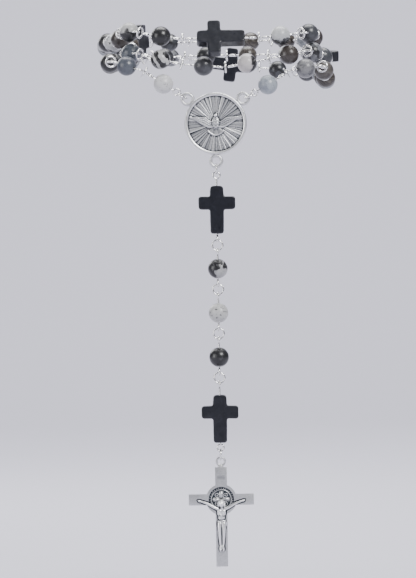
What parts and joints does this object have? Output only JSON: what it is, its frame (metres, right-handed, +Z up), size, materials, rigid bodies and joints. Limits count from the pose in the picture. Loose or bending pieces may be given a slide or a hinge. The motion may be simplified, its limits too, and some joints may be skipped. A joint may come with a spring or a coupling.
{
  "type": "rosary",
  "caption": "Rosary of round veined stone beads and black stone crosses on silver links, with a round dove medal and a hanging crucifix, shown wound round an upright support.",
  "frame": {"origin": "front face of the support the loop is wound round, on the pendant's plumb line, level with the lowest side beads", "axes": "+Z up, +X to the viewer's right, +Y away from the viewer; the medal and the crucifix face -Y"},
  "size_m": [0.1022, 0.1475, 0.2267],
  "materials": {
    "stone_black": "polished, black with thin pale veins",
    "stone_grey": "polished, grey with darker clouds",
    "stone_white": "polished, pale grey with black patches",
    "cross_black": "polished black",
    "chain_silver": "bright silver wire",
    "antique_silver": "antique silver casting, dark in the recesses"
  },
  "bodies": {
    "coil": {"decade_1_eye_pins": "chain_silver", "decade_1_jump_rings": "chain_silver", "decade_1_rear_beads": "stone_grey", "decade_2_eye_pins": "chain_silver", "decade_2_jump_rings": "chain_silver", "decade_2_rear_beads": "stone_grey", "decade_3_eye_pins": "chain_silver", "decade_3_jump_rings": "chain_silver", "decade_3_rear_beads": "stone_grey", "decade_4_eye_pins": "chain_silver", "decade_4_jump_rings": "chain_silver", "decade_4_rear_beads": "stone_grey", "decade_5_eye_pins": "chain_silver", "decade_5_jump_rings": "chain_silver", "decade_5_rear_beads": "stone_grey", "left_lug_ring": "chain_silver", "right_lug_ring": "chain_silver", "our_father_cross_1": "cross_black", "our_father_cross_2": "cross_black", "our_father_cross_4": "cross_black"},
    "decade_1_bead_01": {"decade_1_bead_01": "stone_white"},
    "decade_1_bead_02": {"decade_1_bead_02": "stone_grey"},
    "decade_1_bead_03": {"decade_1_bead_03": "stone_black"},
    "decade_2_bead_01": {"decade_2_bead_01": "stone_grey"},
    "decade_2_bead_02": {"decade_2_bead_02": "stone_grey"},
    "decade_2_bead_03": {"decade_2_bead_03": "stone_black"},
    "decade_2_bead_04": {"decade_2_bead_04": "stone_white"},
    "decade_2_bead_05": {"decade_2_bead_05": "stone_grey"},
    "decade_2_bead_06": {"decade_2_bead_06": "stone_white"},
    "decade_2_bead_07": {"decade_2_bead_07": "stone_grey"},
    "decade_2_bead_08": {"decade_2_bead_08": "stone_black"},
    "decade_3_bead_08": {"decade_3_bead_08": "stone_black"},
    "decade_3_bead_09": {"decade_3_bead_09": "stone_grey"},
    "decade_3_bead_10": {"decade_3_bead_10": "stone_white"},
    "our_father_cross_3": {"our_father_cross_3": "cross_black"},
    "decade_4_bead_01": {"decade_4_bead_01": "stone_black"},
    "decade_4_bead_02": {"decade_4_bead_02": "stone_white"},
    "decade_4_bead_03": {"decade_4_bead_03": "stone_black"},
    "decade_5_bead_08": {"decade_5_bead_08": "stone_grey"},
    "decade_5_bead_09": {"decade_5_bead_09": "stone_grey"},
    "decade_5_bead_10": {"decade_5_bead_10": "stone_white"},
    "center_medal": {"center_medal": "antique_silver"},
    "pendant_ring_1": {"pendant_ring_1": "chain_silver"},
    "pendant_pin_1": {"pendant_pin_1": "chain_silver"},
    "upper_cross_bead": {"upper_cross_bead": "cross_black"},
    "pendant_ring_2": {"pendant_ring_2": "chain_silver"},
    "pendant_pin_2": {"pendant_pin_2": "chain_silver"},
    "pendant_bead_1": {"pendant_bead_1": "stone_black"},
    "pendant_ring_3": {"pendant_ring_3": "chain_silver"},
    "pendant_pin_3": {"pendant_pin_3": "chain_silver"},
    "pendant_bead_2": {"pendant_bead_2": "stone_white"},
    "pendant_ring_4": {"pendant_ring_4": "chain_silver"},
    "pendant_pin_4": {"pendant_pin_4": "chain_silver"},
    "pendant_bead_3": {"pendant_bead_3": "stone_black"},
    "pendant_ring_5": {"pendant_ring_5": "chain_silver"},
    "pendant_pin_5": {"pendant_pin_5": "chain_silver"},
    "lower_cross_bead": {"lower_cross_bead": "cross_black"},
    "pendant_ring_6": {"pendant_ring_6": "chain_silver"},
    "crucifix": {"crucifix": "antique_silver"}
  },
  "joints": [
    {"name": "decade_1_bead_01_spin", "type": "hinge", "parent": "coil", "child": "decade_1_bead_01", "pos_m": [-0.02089, -0.00416, -0.00904], "axis": [-0.8333, -0.108, 0.5422], "continuous": true},
    {"name": "decade_1_bead_02_spin", "type": "hinge", "parent": "coil", "child": "decade_1_bead_02", "pos_m": [-0.03573, -0.00128, -0.00136], "axis": [-0.8049, 0.5182, 0.2891], "continuous": true},
    {"name": "decade_1_bead_03_spin", "type": "hinge", "parent": "coil", "child": "decade_1_bead_03", "pos_m": [-0.04291, 0.01293, 0.00095], "axis": [-0.0388, 0.9992, 0.002], "continuous": true},
    {"name": "decade_2_bead_01_spin", "type": "hinge", "parent": "coil", "child": "decade_2_bead_01", "pos_m": [0.04491, 0.02717, 0.00309], "axis": [-0.2503, -0.9671, 0.0453], "continuous": true},
    {"name": "decade_2_bead_02_spin", "type": "hinge", "parent": "coil", "child": "decade_2_bead_02", "pos_m": [0.04028, 0.00993, 0.00399], "axis": [-0.2446, -0.9695, 0.0156], "continuous": true},
    {"name": "decade_2_bead_03_spin", "type": "hinge", "parent": "coil", "child": "decade_2_bead_03", "pos_m": [0.03018, -0.00241, 0.00221], "axis": [-0.9229, -0.3285, -0.2011], "continuous": true},
    {"name": "decade_2_bead_04_spin", "type": "hinge", "parent": "coil", "child": "decade_2_bead_04", "pos_m": [0.01313, -0.00326, -0.00114], "axis": [-0.9749, 0.1582, -0.1565], "continuous": true},
    {"name": "decade_2_bead_05_spin", "type": "hinge", "parent": "coil", "child": "decade_2_bead_05", "pos_m": [-0.00452, -0.00279, -0.00195], "axis": [-0.9919, -0.1075, 0.068], "continuous": true},
    {"name": "decade_2_bead_06_spin", "type": "hinge", "parent": "coil", "child": "decade_2_bead_06", "pos_m": [-0.02197, -0.0032, 0.00099], "axis": [-0.9594, 0.1212, 0.2545], "continuous": true},
    {"name": "decade_2_bead_07_spin", "type": "hinge", "parent": "coil", "child": "decade_2_bead_07", "pos_m": [-0.03404, 0.00637, 0.00428], "axis": [-0.3357, 0.9386, 0.0793], "continuous": true},
    {"name": "decade_2_bead_08_spin", "type": "hinge", "parent": "coil", "child": "decade_2_bead_08", "pos_m": [-0.03517, 0.02363, 0.00349], "axis": [0.1506, 0.9838, -0.097], "continuous": true},
    {"name": "decade_3_bead_08_spin", "type": "hinge", "parent": "coil", "child": "decade_3_bead_08", "pos_m": [0.041, 0.02402, 0.011], "axis": [0.0084, -0.9991, 0.041], "continuous": true},
    {"name": "decade_3_bead_09_spin", "type": "hinge", "parent": "coil", "child": "decade_3_bead_09", "pos_m": [0.03863, 0.00651, 0.01134], "axis": [-0.3091, -0.9503, -0.0363], "continuous": true},
    {"name": "decade_3_bead_10_spin", "type": "hinge", "parent": "coil", "child": "decade_3_bead_10", "pos_m": [0.02675, -0.00406, 0.00985], "axis": [-0.9708, -0.2164, -0.1035], "continuous": true},
    {"name": "our_father_cross_3_rock", "type": "hinge", "parent": "coil", "child": "our_father_cross_3", "pos_m": [0.00257, -0.00599, 0.00894], "axis": [-0.9999, -0.0127, -0.0028], "range_deg": [-8, 60]},
    {"name": "decade_4_bead_01_spin", "type": "hinge", "parent": "coil", "child": "decade_4_bead_01", "pos_m": [-0.0216, -0.00479, 0.01027], "axis": [-0.9697, 0.1782, 0.1673], "continuous": true},
    {"name": "decade_4_bead_02_spin", "type": "hinge", "parent": "coil", "child": "decade_4_bead_02", "pos_m": [-0.03465, 0.00457, 0.01281], "axis": [-0.4315, 0.8999, 0.0628], "continuous": true},
    {"name": "decade_4_bead_03_spin", "type": "hinge", "parent": "coil", "child": "decade_4_bead_03", "pos_m": [-0.03867, 0.02154, 0.01139], "axis": [-0.0839, 0.9819, -0.1698], "continuous": true},
    {"name": "decade_5_bead_08_spin", "type": "hinge", "parent": "coil", "child": "decade_5_bead_08", "pos_m": [0.04472, 0.01205, -0.00347], "axis": [-0.0633, -0.9892, 0.1318], "continuous": true},
    {"name": "decade_5_bead_09_spin", "type": "hinge", "parent": "coil", "child": "decade_5_bead_09", "pos_m": [0.03679, -0.0017, -0.00343], "axis": [-0.8665, -0.4719, -0.1626], "continuous": true},
    {"name": "decade_5_bead_10_spin", "type": "hinge", "parent": "coil", "child": "decade_5_bead_10", "pos_m": [0.02139, -0.00404, -0.00997], "axis": [-0.8518, 0.1127, -0.5116], "continuous": true},
    {"name": "medal_swing", "type": "hinge", "parent": "coil", "child": "center_medal", "pos_m": [0, -0.0044, -0.0147], "axis": [-1, 0, 0], "range_deg": [-35, 30]},
    {"name": "pendant_ring_1_swing", "type": "hinge", "parent": "center_medal", "child": "pendant_ring_1", "pos_m": [0, -0.004, -0.04285], "axis": [1, 0, 0], "range_deg": [-40, 40]},
    {"name": "pendant_pin_1_swing", "type": "hinge", "parent": "pendant_ring_1", "child": "pendant_pin_1", "pos_m": [0, -0.004, -0.0459], "axis": [0, 1, 0], "range_deg": [-40, 40]},
    {"name": "upper_cross_bead_spin", "type": "hinge", "parent": "pendant_pin_1", "child": "upper_cross_bead", "pos_m": [0, -0.004, -0.05925], "axis": [0, 0, 1], "continuous": true},
    {"name": "pendant_ring_2_swing", "type": "hinge", "parent": "pendant_pin_1", "child": "pendant_ring_2", "pos_m": [0, -0.004, -0.0735], "axis": [0, -1, 0], "range_deg": [-40, 40]},
    {"name": "pendant_pin_2_swing", "type": "hinge", "parent": "pendant_ring_2", "child": "pendant_pin_2", "pos_m": [0, -0.004, -0.0768], "axis": [-1, 0, 0], "range_deg": [-40, 40]},
    {"name": "pendant_bead_1_spin", "type": "hinge", "parent": "pendant_pin_2", "child": "pendant_bead_1", "pos_m": [0, -0.004, -0.08365], "axis": [0, 0, 1], "continuous": true},
    {"name": "pendant_ring_3_swing", "type": "hinge", "parent": "pendant_pin_2", "child": "pendant_ring_3", "pos_m": [0, -0.004, -0.0914], "axis": [0, 1, 0], "range_deg": [-40, 40]},
    {"name": "pendant_pin_3_swing", "type": "hinge", "parent": "pendant_ring_3", "child": "pendant_pin_3", "pos_m": [0, -0.004, -0.0947], "axis": [1, 0, 0], "range_deg": [-40, 40]},
    {"name": "pendant_bead_2_spin", "type": "hinge", "parent": "pendant_pin_3", "child": "pendant_bead_2", "pos_m": [0, -0.004, -0.10155], "axis": [0, 0, 1], "continuous": true},
    {"name": "pendant_ring_4_swing", "type": "hinge", "parent": "pendant_pin_3", "child": "pendant_ring_4", "pos_m": [0, -0.004, -0.1093], "axis": [0, -1, 0], "range_deg": [-40, 40]},
    {"name": "pendant_pin_4_swing", "type": "hinge", "parent": "pendant_ring_4", "child": "pendant_pin_4", "pos_m": [0, -0.004, -0.1126], "axis": [-1, 0, 0], "range_deg": [-40, 40]},
    {"name": "pendant_bead_3_spin", "type": "hinge", "parent": "pendant_pin_4", "child": "pendant_bead_3", "pos_m": [0, -0.004, -0.11945], "axis": [0, 0, 1], "continuous": true},
    {"name": "pendant_ring_5_swing", "type": "hinge", "parent": "pendant_pin_4", "child": "pendant_ring_5", "pos_m": [0, -0.004, -0.1272], "axis": [0, 1, 0], "range_deg": [-40, 40]},
    {"name": "pendant_pin_5_swing", "type": "hinge", "parent": "pendant_ring_5", "child": "pendant_pin_5", "pos_m": [0, -0.004, -0.1305], "axis": [1, 0, 0], "range_deg": [-40, 40]},
    {"name": "lower_cross_bead_spin", "type": "hinge", "parent": "pendant_pin_5", "child": "lower_cross_bead", "pos_m": [0, -0.004, -0.14385], "axis": [0, 0, 1], "continuous": true},
    {"name": "pendant_ring_6_swing", "type": "hinge", "parent": "pendant_pin_5", "child": "pendant_ring_6", "pos_m": [0, -0.004, -0.1581], "axis": [-1, 0, 0], "range_deg": [-40, 40]},
    {"name": "crucifix_swing", "type": "hinge", "parent": "pendant_ring_6", "child": "crucifix", "pos_m": [0, -0.004, -0.1614], "axis": [0, -1, 0], "range_deg": [-40, 40]}
  ]
}
